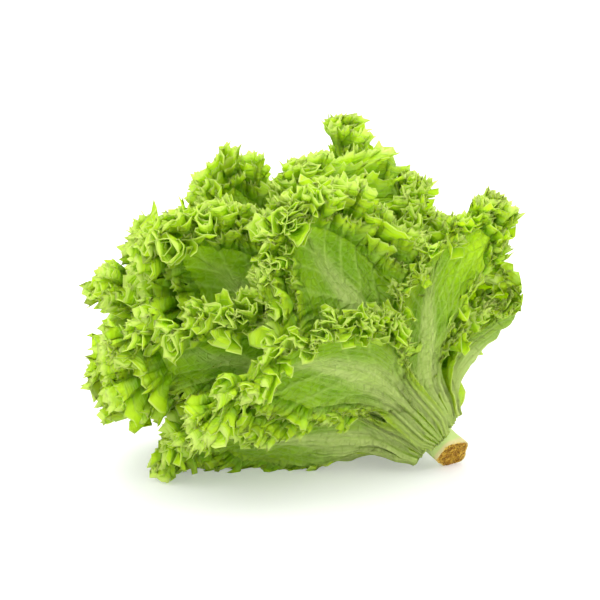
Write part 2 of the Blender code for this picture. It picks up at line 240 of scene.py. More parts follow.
def stem_radius(height):
    taper = smooth((height - STEM_STRAIGHT) / (STEM_LENGTH - STEM_STRAIGHT))
    return STEM_RADIUS + (STEM_TIP_RADIUS - STEM_RADIUS) * taper


def half_width(share, widest):
    """A leaf's half width at this share of its length."""
    stalk = ROOT_HALF_WIDTH + (STALK_HALF_WIDTH - ROOT_HALF_WIDTH) * smooth(share / STALK_SHARE)
    fan = smooth((share - FAN_FROM) / (FAN_FULL - FAN_FROM))
    crown = np.maximum(share - FAN_FULL, 0.0) / (1.0 - FAN_FULL)
    return (stalk + (widest - stalk) * fan) * np.sqrt(np.clip(1.0 - crown**2, 0.0, 1.0))


def edge_outline(leaf, count):
    """(across, along) of points up one side from the root to the tip, closer together in the frill."""
    share = np.linspace(0.0, 1.0, OUTLINE_SAMPLES) ** 0.5
    across, along = half_width(share, leaf.width), share * leaf.length
    step = np.hypot(np.diff(across), np.diff(along))
    density = ROOT_DENSITY + (1.0 - ROOT_DENSITY) * smooth((share[1:] - DENSE_FROM) / DENSE_REACH)
    travelled = np.concatenate(([0.0], np.cumsum(step * density)))
    wanted = np.linspace(0.0, travelled[-1], count)
    return np.interp(wanted, travelled, across), np.interp(wanted, travelled, along)


def rib_curve(leaf):
    """(distance along the rib, radius from the axis, height along it, heading) down the middle of a leaf."""
    along = np.linspace(0.0, RIB_OVERRUN * leaf.length, RIB_SAMPLES)
    opened = smooth(along / OPENING_LENGTH)
    root = min(ROOT_HEADING, leaf.lean)
    heading = np.radians(root + (leaf.lean - root) * opened + leaf.curl * (along / leaf.length) ** 2)
    step = along[1]
    radius = stem_radius(leaf.root) + ROOT_GAP + RIB_THICKNESS / 2 + np.cumsum(np.sin(heading)) * step
    height = leaf.root + np.cumsum(np.cos(heading)) * step
    return along, radius, height, heading


def frill_lift(seed, distance, level, turn):
    """How far the frill, the folds and the rolled edge stand out. turn runs round the edge from 0 to 1."""
    frilled = smooth((distance - FRILL_FROM) / (FRILL_FULL - FRILL_FROM)) * distance
    start = np.random.default_rng(seed).uniform(0.0, FULL_TURN, 3)
    wander = FRILL_WANDER * np.sin(FULL_TURN * WANDER_WAVES * turn + start[0])
    frill = np.sin(FULL_TURN * FRILL_WAVES * turn + start[1] + wander)
    fold = np.sin(FULL_TURN * FOLD_WAVES * turn + start[2])
    waves = FRILL_DEPTH * level**FRILL_POWER * frill + FOLD_DEPTH * level * fold
    return frilled * (waves + EDGE_ROLL * level**3)


def leaf_surface(leaf, seed, across, along, level, turn):
    """Head coordinates of points of a leaf's middle surface."""
    stations, radii, heights, headings = rib_curve(leaf)
    radius = np.interp(along, stations, radii)
    height = np.interp(along, stations, heights)
    heading = np.interp(along, stations, headings)
    wrap = WRAP_LIMIT * np.tanh(across / (radius * WRAP_LIMIT))
    lift = frill_lift(seed, np.hypot(radius, height), level, turn)
    radius = np.maximum(radius + lift * np.cos(heading), STEM_TIP_RADIUS)
    height = height - lift * np.sin(heading)

    azimuth = np.radians(leaf.azimuth + leaf.swing * (along / leaf.length) ** 2)
    wrapped = radius * np.exp(1j * (azimuth + wrap))
    spread = (radius + 1j * across * np.exp(1j * math.radians(leaf.twist))) * np.exp(1j * azimuth)
    placed = wrapped + leaf.flat * smooth(along / OPENING_LENGTH) * (spread - wrapped)
    sag = leaf.sag * np.clip(along / leaf.length, 0.0, 1.0) ** 3
    down = -np.array((UPPER_RIGHT[2], FRONT[2], AXIS[2]))
    return np.stack((placed.real, placed.imag, height), axis=1) + sag[:, None] * down


# %% [markdown]
# ## Rows of points
#
# The surface is sampled in rows that run from the rib out to the edge. The rows near the edge, where
# the frill is, have two or four times as many points as those near the rib, so that the triangles go
# where the detail is.

# %% Rows and triangles of a leaf
RIB_SPACING = 0.95
RIB_FADE = 1.3


def leaf_rows(leaf, edge_points, levels, rib_reach, first_station=0):
    """A leaf's points as (across, along, level, turn), and rows of their numbers from the rib to the edge.

    A row runs up one side and down the other, and the rib's row has the same points on both sides.
    """
    half = edge_points // 2
    edge_across, edge_along = edge_outline(leaf, half + 1)
    rib_along = rib_reach * leaf.length * (np.arange(half + 1) / half) ** RIB_SPACING
    points, rows = [], []
    for level, kept in levels:
        first = len(points)
        for side, end in ((-1.0, 0.0), (1.0, 1.0)):
            stations = list(range(first_station, half + 1, kept))
            if side > 0:
                stations = stations[-2::-1] if level > 0.0 else []
            for station in stations:
                along = (1.0 - level) * rib_along[station] + level * edge_along[station]
                turn = end - side * station / edge_points
                points.append((side * level * edge_across[station], along, level, turn))
        row = list(range(first, len(points)))
        rows.append(row if level > 0.0 else row + row[-2::-1])
    return np.array(points), rows


def stitched(inner, outer):
    """Triangles between two rows. The outer row has as many steps as the inner one, or twice as many."""
    triangles = []
    for i in range(len(inner) - 1):
        a, b = inner[i], inner[i + 1]
        if len(inner) == len(outer):
            triangles += [(a, outer[i], outer[i + 1]), (a, outer[i + 1], b)]
        else:
            c, d, e = outer[2 * i : 2 * i + 3]
            triangles += [(a, c, d), (a, d, b), (b, d, e)]
    return triangles


def strip_triangles(rows):
    return np.array([corners for inner, outer in zip(rows, rows[1:]) for corners in stitched(inner, outer)])


def rib_share(across, along, length):
    """How much of the rib's thickness is left at these points, from 1 at its root to 0 on the blade."""
    share = np.clip(along / length, 0.0, 1.0)
    return np.exp(-((across / RIB_HALF_WIDTH) ** 2)) * (1.0 - share) ** RIB_FADE


# %% [markdown]
# ## Laying the leaves over each other
#
# Each leaf lies on the leaves inside it. A grid round the stem remembers how far out the outermost
# leaf is, and a leaf that would cut through is leaned out until it clears. This is done on the coarse
# sheet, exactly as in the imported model, and the fine sheet then takes over the same lean. The grid also
# tells the fine frill how much room it has inwards.

# %% The nest of leaves
STEM_SAMPLES = 400


def polar(points):
    """(distance from the nest's centre, lean from the axis, azimuth) of head coordinates."""
    radius, height = np.hypot(points[:, 0], points[:, 1]), points[:, 2] + NEST_CENTRE
    return np.hypot(radius, height), np.arctan2(radius, height), np.arctan2(points[:, 1], points[:, 0])


def from_polar(distance, lean, azimuth):
    radius, height = distance * np.sin(lean), distance * np.cos(lean) - NEST_CENTRE
    return np.stack((radius * np.cos(azimuth), radius * np.sin(azimuth), height), axis=1)


def even_weights(steps):
    """The corners' weights for points spread evenly over a triangle."""
    pairs = [(i, j) for i in range(steps + 1) for j in range(steps + 1 - i)]
    return np.array([(i, j, steps - i - j) for i, j in pairs]) / steps


def sampled(points, triangles, thickness, steps):
    """Points spread over the triangles, and half the thickness at each."""
    weights = even_weights(steps)
    half = (weights @ thickness[triangles].T).T.ravel() / 2
    return np.einsum("sw,twc->tsc", weights, points[triangles]).reshape(-1, 3), half


def cells(distance, azimuth):
    column = np.floor(azimuth / FULL_TURN * NEST_AZIMUTHS).astype(int) % NEST_AZIMUTHS
    return column, np.clip((distance / NEST_STEP).astype(int), 0, NEST_DISTANCES - 1)


def bare_stem_nest():
    """The lean of the stem's own surface, the same at every azimuth."""
    heights = np.linspace(0.0, STEM_LENGTH, STEM_SAMPLES)
    radii = stem_radius(heights)
    from_centre = heights + NEST_CENTRE
    distances = (np.arange(NEST_DISTANCES) + 0.5) * NEST_STEP
    lean = np.interp(distances, np.hypot(from_centre, radii), np.arctan2(radii, from_centre), right=0.0)
    return np.tile(lean, (NEST_AZIMUTHS, 1))


def widened(nest):
    """The nest with each cell raised to the highest of its neighbours."""
    wide = np.maximum.reduce([np.roll(nest, shift, axis=0) for shift in (-1, 0, 1)])
    padded = np.pad(wide, ((0, 0), (1, 1)), mode="edge")
    return np.maximum.reduce([padded[:, :-2], wide, padded[:, 2:]])


def raised(values, triangles, wanted):
    """The values at the triangles' corners, each at least as high as its triangles want."""
    values = values.copy()
    for corner in range(3):
        np.maximum.at(values, triangles[:, corner], wanted)
    return values


def lay_over(nest, points, triangles, thickness):
    """Leans a leaf out wherever it would come closer than the gap to the leaves inside it."""
    limit = widened(nest)
    for _ in range(LAYING_ROUNDS):
        samples, half = sampled(points, triangles, thickness, LAYING_SAMPLES)
        distance, lean, azimuth = polar(samples)
        short = limit[cells(distance, azimuth)] * distance + half + LEAF_GAP - lean * distance
        short = np.maximum(short, 0.0).reshape(len(triangles), -1).max(axis=1)
        if short.max() < LAYING_ERROR:
            break
        push = raised(np.zeros(len(points)), triangles, short)
        for _ in range(2):
            push = raised(push, triangles, LAYING_SPREAD * push[triangles].mean(axis=1))
        distance, lean, azimuth = polar(points)
        points = from_polar(distance, lean + push / distance, azimuth)
    return points


print("a grid cell is", 360 / NEST_AZIMUTHS, "degrees by", 1000 * NEST_STEP, "mm")

# %% [markdown]
# ## How much room each leaf has
#
# The frill may not cut into the next leaf. The grid above gives the leaves inside, and a second one,
# filled from the outside in, gives the leaves outside. Between the two lies the room that a leaf's
# frill can use. Where nothing covers a leaf, which is where the frill shows, the room is wide.

# %% Rooms between the leaves
OPEN_LEAN = 3.0
ROOM_SHARE = 0.5
WIDEST_ROOM = 0.018
Laid = namedtuple("Laid", "lean_rows inside outside")


def lay_coarse_leaf(leaf, seed, nest):
    """Lays the coarse leaf. It returns its rows of (level, turns, leans) and a grid of its inner surface."""
    columns, rows = leaf_rows(leaf, COARSE_EDGE_POINTS, COARSE_LEVELS, RIB_REACH)
    across, along, level, turn = columns.T
    triangles = strip_triangles(rows)
    thickness = EDGE_THICKNESS + RIB_THICKNESS * rib_share(across, along, leaf.length)
    grown = leaf_surface(leaf, seed, across, along, level, turn)
    laid = lay_over(nest, grown, triangles, thickness)
    change = polar(laid)[1] - polar(grown)[1]
    lean_rows = [
        (height, np.linspace(0.0, 1.0, len(row)), change[row])
        for (height, _), row in zip(COARSE_LEVELS, rows)
    ]
    samples, half = sampled(laid, triangles, thickness, NEST_SAMPLES)
    distance, lean, azimuth = polar(samples)
    np.maximum.at(nest, cells(distance, azimuth), lean + half / distance)
    inner_side = np.full(nest.shape, OPEN_LEAN)
    np.minimum.at(inner_side, cells(distance, azimuth), lean - half / distance)
    return lean_rows, inner_side


def lay_all():
    """Every leaf's lean, and the grids of what lies inside and outside it, by name."""
    nest = bare_stem_nest()
    steps = []
    for seed, leaf in reversed(list(enumerate(LEAVES))):
        inside = widened(nest)
        steps.append((leaf.name, inside) + lay_coarse_leaf(leaf, seed, nest))
    laid = {}
    outside = np.full(nest.shape, OPEN_LEAN)
    for name, inside, lean_rows, inner_side in reversed(steps):
        laid[name] = Laid(lean_rows, inside, -widened(-outside))
        outside = np.minimum(outside, inner_side)
    return laid


def looked_up(grid, distance, azimuth):
    """The grid's value at these places, blended between its cells."""
    column = azimuth / FULL_TURN * NEST_AZIMUTHS - 0.5
    # The last place stays just below the last cell, so that there is always a cell above it.
    line = np.clip(distance / NEST_STEP - 0.5, 0.0, NEST_DISTANCES - 1.001)
    left, low = np.floor(column).astype(int), np.floor(line).astype(int)
    beside, above = column - left, line - low
    near = (1.0 - above) * grid[left % NEST_AZIMUTHS, low] + above * grid[left % NEST_AZIMUTHS, low + 1]
    left += 1
    far = (1.0 - above) * grid[left % NEST_AZIMUTHS, low] + above * grid[left % NEST_AZIMUTHS, low + 1]
    return (1.0 - beside) * near + beside * far


LAID = lay_all()
print("laid leaves:", len(LAID))

# %% [markdown]
# ## The fine sheets of a leaf
#
# A curly leaf's edge is folded back and forth so tightly that it looks like several edges behind one
# another. So each leaf is a blade with fifteen rows of points and several hundred points along its
# edge, and three narrow folds that stand off the blade and follow its edge round the tip. All of them
# carry what the frill and the finish need to know at each point.

# %% Fine sheets
# The rows of a blade: their level and which of the edge's points they keep, where 4 is every fourth one.
BLADE_LEVELS = tuple((level, 4) for level in (0.0, 0.07, 0.14, 0.22, 0.30, 0.38, 0.46))
BLADE_LEVELS += tuple((level, 2) for level in (0.54, 0.62, 0.70, 0.78, 0.85, 0.915))
BLADE_LEVELS += tuple((level, 1) for level in (0.965, 1.0))
FINE_RIB_REACH = 0.80
FINE_POINTS_PER_METRE = 1700
SPARSEST_ROW = 4
EDGE_SAMPLES = 200
ROOT_SINK_LENGTH = 0.015
ROOT_SINK = 0.0034
ROOT_TAPER_LENGTH = 0.012
ROOT_TAPER = 0.35
# The frill adds to a leaf's reach, so its sheet is trimmed by this share towards the tip. Some leaves
# have a share of their own.
EDGE_TRIM = 0.035
OWN_TRIM = {
    "outer_leaf_2": 0.045, "outer_leaf_3": 0.060, "outer_leaf_7": 0.055,
    "middle_leaf_2": 0.0, "middle_leaf_3": 0.050,
    "inner_leaf_1": 0.060, "inner_leaf_2": 0.0, "inner_leaf_3": 0.0, "inner_leaf_4": 0.0,
    "inner_leaf_5": 0.012,
    "heart_leaf_1": 0.0, "heart_leaf_2": 0.0, "heart_leaf_3": 0.0,
}

# Where a fold starts and ends on the blade, how far it stands off it, and at which share of the edge it
# begins.
Fold = namedtuple("Fold", "low high lift first")
FOLDS = (
    Fold(0.44, 0.64, 0.0080, 0.26),
    Fold(0.66, 0.88, 0.0080, 0.16),
    Fold(0.74, 0.94, -0.0070, 0.20),
)
# The rows of a fold: how far across it they lie, and which of the edge's points they keep.
FOLD_STEPS = ((0.0, 2), (0.36, 2), (0.72, 2), (1.0, 1))
# The blades that show most stay smooth over this much more of their width.
SMOOTH_BLADES = {"outer_leaf_1": 0.15, "outer_leaf_2": 0.55, "outer_leaf_3": 0.30, "outer_leaf_8": 0.30}
SMOOTH_FOLD_LOSS = 0.5
FULL_WIDTH = 0.056
FOLD_TAPER = 0.06
FOLD_LOWEST = 0.30
FOLD_SWELL = 0.95
FOLD_SEEDS = 100
SLOW_WAVES = (5, 9, 14)
SLOW_WAVE_DEPTH = 0.3
VEIN_PAIRS = 9.0
VEIN_RISE = 1.5
VEIN_BEND = 0.75
ROOM_SMOOTHING = 0.012
PATTERN_STEP = 0.37


def edge_length(leaf):
    """The length of a leaf's edge, from its root round the tip and back."""
    across, along = edge_outline(leaf, EDGE_SAMPLES)
    return 2.0 * float(np.hypot(np.diff(across), np.diff(along)).sum())


def carried_lean(lean_rows, level, turn):
    """The coarse rows' lean at the fine points."""
    heights = np.array([height for height, _, _ in lean_rows])
    leans = np.array([np.interp(turn, turns, lean) for _, turns, lean in lean_rows])
    above = np.clip(np.searchsorted(heights, level, side="right"), 1, len(heights) - 1)
    share = (level - heights[above - 1]) / (heights[above] - heights[above - 1])
    index = np.arange(len(level))
    return (1.0 - share) * leans[above - 1, index] + share * leans[above, index]


def unit_rows(vectors):
    return vectors / np.maximum(np.linalg.norm(vectors, axis=1), 1e-9)[:, None]


def directions(points, rows):
    """Unit vectors along the edge and out towards it, at each point."""
    way, outward = np.zeros_like(points), np.zeros_like(points)
    for number, row in enumerate(rows):
        ahead, behind = np.roll(row, -1), np.roll(row, 1)
        ahead[-1], behind[0] = row[-1], row[0]
        way[row] = points[ahead] - points[behind]
        place = np.linspace(0.0, 1.0, len(row))
        inner, outer = rows[max(number - 1, 0)], rows[min(number + 1, len(rows) - 1)]
        inner_at = np.rint(place * (len(inner) - 1)).astype(int)
        outer_at = np.rint(place * (len(outer) - 1)).astype(int)
        outward[row] = points[outer[outer_at]] - points[inner[inner_at]]
    return unit_rows(way), unit_rows(outward)


def smoothed(values, rows, width):
    """The values, each the mean of its neighbours along its row."""
    result = values.copy()
    for row in rows:
        reach = max(1, int(width * len(row)))
        padded = np.pad(values[row], reach, mode="edge")
        sums = np.cumsum(np.insert(padded, 0, 0.0))
        result[row] = (sums[2 * reach + 1 :] - sums[: -2 * reach - 1]) / (2 * reach + 1)
    return result


def slow_waves(turn, seed):
    """An uneven wave between 0 and 1 along the edge."""
    start = np.random.default_rng(seed).uniform(0.0, FULL_TURN, 3)
    total = sum(np.sin(FULL_TURN * count * turn + begin) for count, begin in zip(SLOW_WAVES, start))
    return smooth(0.5 + SLOW_WAVE_DEPTH * total)


def fine_sheet(leaf, seed, levels, first, fold_seed=None, fold=None):
    """One sheet of a leaf: its points, triangles and values. With a fold, the levels are steps across it."""
    laid = LAID[leaf.name]
    # Each side of the edge has a multiple of the sparsest row's step, so that every row ends at the tip.
    multiple = 2 * SPARSEST_ROW
    edge_points = multiple * round(FINE_POINTS_PER_METRE * edge_length(leaf) / multiple)
    first_station = SPARSEST_ROW * int(first * edge_points / multiple)
    columns, rows = leaf_rows(leaf, edge_points, levels, FINE_RIB_REACH, first_station)
    rows = [np.array(row) for row in rows]
    across, along, level, turn = columns.T
    across = across * (1.0 - ROOT_TAPER * (1.0 - smooth(along / ROOT_TAPER_LENGTH)))
    trimmed = 1.0 - OWN_TRIM.get(leaf.name, EDGE_TRIM) * smooth(along / leaf.length)
    across, along = across * trimmed, along * trimmed
    grown = leaf_surface(leaf, seed, across, along, level, turn)
    distance, lean, azimuth = polar(grown)
    lean = lean + carried_lean(laid.lean_rows, level, turn)
    room_in = (lean - looked_up(laid.inside, distance, azimuth)) * distance
    room_out = (looked_up(laid.outside, distance, azimuth) - lean) * distance
    sunk = ROOT_SINK * (1.0 - smooth(along / ROOT_SINK_LENGTH))
    points = in_world(from_polar(distance, lean - sunk / distance, azimuth))
    way, outward = directions(points, rows)
    outside = unit_rows(np.cross(way, outward))
    from_axis = points - STEM_END
    from_axis -= (from_axis @ AXIS)[:, None] * AXIS
    if np.einsum("ij,ij->", outside, from_axis) < 0:
        outside = -outside

    share = np.clip(along / leaf.length, 0.0, 1.0)
    vein_line = along - VEIN_RISE * leaf.width * (np.abs(across) / leaf.width) ** VEIN_BEND
    values = {
        "level": level,
        "turn": turn,
        "reach": np.linalg.norm(grown, axis=1),
        "room_in": smoothed(ROOM_SHARE * np.clip(room_in, 0.0, 2 * WIDEST_ROOM), rows, ROOM_SMOOTHING),
        "room_out": smoothed(ROOM_SHARE * np.clip(room_out, 0.0, 2 * WIDEST_ROOM), rows, ROOM_SMOOTHING),
        "rib": rib_share(across, along, leaf.length),
        "share": share,
        "vein": VEIN_PAIRS * vein_line / leaf.length + 0.5 * (across > 0),
        "fold": np.zeros(len(points)),
        "fold_lift": np.zeros(len(points)),
        "edge": level,
        "fan": level * np.sign(across),
    }
    if fold is not None:
        step = (level - fold.low) / (fold.high - fold.low)
        ends = smooth((turn - turn.min()) / FOLD_TAPER) * smooth((turn.max() - turn) / FOLD_TAPER)
        values["fold"] = values["edge"] = step
        lift = fold.lift * min(1.0, leaf.width / FULL_WIDTH)
        values["fold_lift"] = lift * ends * (FOLD_LOWEST + FOLD_SWELL * slow_waves(turn, fold_seed))
        values["rib"] = 0.0 * step

    # The finish's patterns run on the leaf's own place, which is moved on so that no two leaves match.
    place = np.stack((across, along + PATTERN_STEP * seed, 0.0 * along), axis=1)
    vectors = {"way": way, "outward": outward, "outside": outside, "place": place}
    return points, strip_triangles(rows), values, vectors


def leaf_sheets(leaf, seed):
    """The blade and its folds as one set of points, triangles and values."""
    parts = [fine_sheet(leaf, seed, BLADE_LEVELS, 0.0)]
    for number, fold in enumerate(FOLDS):
        kept_smooth = SMOOTH_BLADES.get(leaf.name, 0.0)
        low, high = (height + kept_smooth * (1.0 - height) for height in (fold.low, fold.high))
        fold = fold._replace(low=low, high=high, lift=fold.lift * (1.0 - SMOOTH_FOLD_LOSS * kept_smooth))
        levels = tuple((fold.low + step * (fold.high - fold.low), kept) for step, kept in FOLD_STEPS)
        parts.append(fine_sheet(leaf, seed, levels, fold.first, FOLD_SEEDS + 10 * seed + number, fold))
    starts = np.cumsum([0] + [len(part[0]) for part in parts])
    points = np.concatenate([part[0] for part in parts])
    triangles = np.concatenate([part[1] + start for part, start in zip(parts, starts)])

    def joined(index):
        return {key: np.concatenate([part[index][key] for part in parts]) for key in parts[0][index]}

    return points, triangles, joined(2), joined(3)


def sheet_mesh(name, points, triangles, values, vectors):
    """A plain mesh of the sheets, with its faces towards the outside of the head."""
    corner = points[triangles]
    normal = np.cross(corner[:, 1] - corner[:, 0], corner[:, 2] - corner[:, 0])
    wrong = np.einsum("ij,ij->i", normal, vectors["outside"][triangles[:, 0]]) < 0
    triangles[wrong] = triangles[wrong][:, ::-1]
    mesh = bpy.data.meshes.new(name)
    mesh.from_pydata(points.tolist(), [], triangles.tolist())
    for key, value in values.items():
        carried = mesh.attributes.new(key, "FLOAT", "POINT")
        carried.data.foreach_set("value", value.astype(np.float32))
    for key, value in vectors.items():
        carried = mesh.attributes.new(key, "FLOAT_VECTOR", "POINT")
        carried.data.foreach_set("vector", value.astype(np.float32).ravel())
    return mesh


print("rows of a blade:", len(BLADE_LEVELS), "and of each fold:", len(FOLD_STEPS))

# %% [markdown]
# ## Node trees written in code
#
# Both the frill and the finishes are node trees. One helper adds a node, sets its options and links or
# sets its inputs in their order, and another does it by the inputs' names, which keeps each tree short
# enough to read.

# %% Helpers for node trees
def fill(tree, socket, value):
    """Links a node's output to this input, or sets the input to this value. None leaves it as it is."""
    if isinstance(value, bpy.types.NodeSocket):
        tree.links.new(value, socket)
    elif value is not None:
        socket.default_value = value


def wired(tree, kind, *inputs, **options):
    """A new node with these options, and its inputs filled in their order."""
    node = tree.nodes.new(kind)
    for name, value in options.items():
        setattr(node, name, value)
    for socket, value in zip([s for s in node.inputs if s.enabled], inputs):
        fill(tree, socket, value)
    return node


def filled(tree, node, values):
    """The node, with its inputs filled by their names."""
    for name, value in values.items():
        fill(tree, node.inputs[name], value)
    return node


def maths(tree, operation, *inputs):
    return wired(tree, "ShaderNodeMath", *inputs, operation=operation).outputs[0]


def summed(tree, *values):
    total = values[0]
    for value in values[1:]:
        total = maths(tree, "ADD", total, value)
    return total


def product(tree, *values):
    total = values[0]
    for value in values[1:]:
        total = maths(tree, "MULTIPLY", total, value)
    return total


def eased(tree, value, low, high, at_low=0.0, at_high=1.0):
    """A smooth step of the value from low to high."""
    ends = (low, high, at_low, at_high)
    return wired(tree, "ShaderNodeMapRange", value, *ends, interpolation_type="SMOOTHSTEP").outputs[0]


def noise(tree, vector, scale, detail=0.0, roughness=0.5, dimensions="2D"):
    node = wired(tree, "ShaderNodeTexNoise", noise_dimensions=dimensions)
    filled(tree, node, {"Vector": vector, "Scale": scale, "Detail": detail, "Roughness": roughness})
    return node.outputs["Fac" if "Fac" in node.outputs else 0]


def vein_lines(tree, vein, sharpness):
    """1 on the side veins, falling to 0 between them."""
    wave = maths(tree, "COSINE", product(tree, vein, math.pi))
    return maths(tree, "POWER", maths(tree, "ABSOLUTE", wave), sharpness)


# %% [markdown]
# ## The fine frill, with Geometry Nodes
#
# A lettuce leaf's edge keeps growing after its blade has stopped, so it buckles into ruffles, the
# ruffles into curls and the curls into teeth, each about half as wide as the last. The tree adds these
# waves along the edge of the blade and of its folds. Each wave also leans over along the edge, which
# gives the round loops of a real frill and not a plain sine, and the finer ones crinkle along it, so
# that no flank is quite smooth. It is one tree for all leaves: a modifier on each leaf sets its seed
# and the number of waves that its edge has room for.

# %% The frill's node tree
FRILL_GROWS = (0.034, 0.100)
FRILL_INPUTS = {
    "Seed": 0.0, "Smooth Blade": 0.0,
    "Ruffle Waves": 30.0, "Ruffle Depth": 0.028,
    "Curl Waves": 60.0, "Curl Depth": 0.0135,
    "Fold Waves": 40.0, "Fold Depth": 0.55,
    "Crimp Waves": 80.0, "Crimp Depth": 0.28,
    "Tooth Waves": 140.0, "Tooth Depth": 0.0010, "Tooth Length": 0.0036, "Tooth Spread": 0.0016,
    "Pucker Depth": 0.0038, "Vein Depth": 0.0012, "Ridge Depth": 0.0022,
}

# Each kind of wave: its length, where on the blade or the fold it begins, and how far it leans over and
# crinkles along the edge, as shares of its own size.
WaveKind = namedtuple("WaveKind", "length begins lean crinkle")
WAVE_KINDS = {
    "Ruffle": WaveKind(0.0102, 0.28, 0.32, 0.0),
    "Curl": WaveKind(0.0047, 0.42, 0.32, 0.45),
    "Fold": WaveKind(0.0076, 0.0, 0.5, 0.0),
    "Crimp": WaveKind(0.0040, 0.15, 0.5, 0.5),
    "Tooth": WaveKind(0.0028, 0.75, 0.4, 0.9),
}
Wave = namedtuple("Wave", "out lean size")
WAVE_DRIFT = 3.0
DRIFT_ALONG = 0.35
DRIFT_ACROSS = 0.8
SEED_STEP = 3.7
KIND_STEP = 2.3
SWELL_OFFSET = (31.7, 11.3, 0.0)
SWELL_SCALE = 1.4
SWELL_SIZES = (0.45, 1.35)
CRINKLE_RATE = 1.37

TOOTH_POINTS = 2.0
SHORTEST_TOOTH = 0.15
PUCKER_SCALE = 85.0
VEIN_SHARPNESS = 12.0
RIDGES = 4.5
CURL_ROOM = 0.8
FOLD_ROOM = 1.5
LEAST_SIZE = 0.0005
SHIFT_SHARE = 0.65
FOLD_RISE = 0.8


def named_value(tree, name, data_type="FLOAT"):
    return wired(tree, "GeometryNodeInputNamedAttribute", name, data_type=data_type).outputs[0]


def edge_wave(tree, inputs, name, measure, scale, smooth_blade=0.0):
    """One kind of wave along an edge: how far it moves outwards and along the edge, and its own size."""
    kind = WAVE_KINDS[name]
    along_edge = product(tree, named_value(tree, "turn"), inputs[name + " Waves"])
    start = maths(tree, "MULTIPLY_ADD", inputs["Seed"], SEED_STEP, KIND_STEP * list(WAVE_KINDS).index(name))
    drifting = summed(tree, product(tree, along_edge, DRIFT_ALONG), start)
    spot = wired(tree, "ShaderNodeCombineXYZ", drifting, product(tree, measure, DRIFT_ACROSS)).outputs[0]
    drift = noise(tree, spot, 1.0)
    other = wired(tree, "ShaderNodeVectorMath", spot, SWELL_OFFSET, operation="ADD").outputs[0]
    swell = eased(tree, noise(tree, other, SWELL_SCALE), 0.3, 0.7, *SWELL_SIZES)
    phase = maths(tree, "MULTIPLY_ADD", drift, WAVE_DRIFT, product(tree, along_edge, FULL_TURN))

    # On a smooth blade the waves begin nearer the edge.
    begins = maths(tree, "MULTIPLY_ADD", smooth_blade, 1.0 - kind.begins, kind.begins)
    depth = product(tree, scale, inputs[name + " Depth"])
    size = product(tree, swell, eased(tree, measure, begins, 1.0), depth)
    lean = product(tree, size, maths(tree, "SINE", product(tree, phase, 2.0)), -kind.lean)
    crinkle = maths(tree, "SINE", maths(tree, "MULTIPLY_ADD", phase, CRINKLE_RATE, start))
    lean = summed(tree, lean, product(tree, size, crinkle, kind.crinkle))
    return Wave(product(tree, size, maths(tree, "SINE", phase)), lean, size)


def random_value(tree, data_type, lowest, highest, seed):
    """A random value between these two for each point."""
    node = wired(tree, "FunctionNodeRandomValue", lowest, highest, None, seed, data_type=data_type)
    return [s for s in node.outputs if s.enabled][0]


def scaled(tree, vector, size):
    node = wired(tree, "ShaderNodeVectorMath", vector, operation="SCALE")
    tree.links.new(size, node.inputs["Scale"])
    return node.outputs[0]


def new_tree(name, inputs):
    """A Geometry Nodes tree with a geometry, these numbers and a material as its inputs."""
    tree = bpy.data.node_groups.new(name, "GeometryNodeTree")
    tree.interface.new_socket("Geometry", in_out="INPUT", socket_type="NodeSocketGeometry")
    tree.interface.new_socket("Geometry", in_out="OUTPUT", socket_type="NodeSocketGeometry")
    for key, default in inputs.items():
        tree.interface.new_socket(key, in_out="INPUT", socket_type="NodeSocketFloat").default_value = default
    tree.interface.new_socket("Material", in_out="INPUT", socket_type="NodeSocketMaterial")
    return tree, tree.nodes.new("NodeGroupInput").outputs


def close_tree(tree, geometry, finish):
    """Ends a tree with real geometry that wears the finish."""
    real = wired(tree, "GeometryNodeRealizeInstances", geometry)
    finished = wired(tree, "GeometryNodeSetMaterial", real.outputs[0], True, finish)
    tree.links.new(finished.outputs[0], tree.nodes.new("NodeGroupOutput").inputs[0])


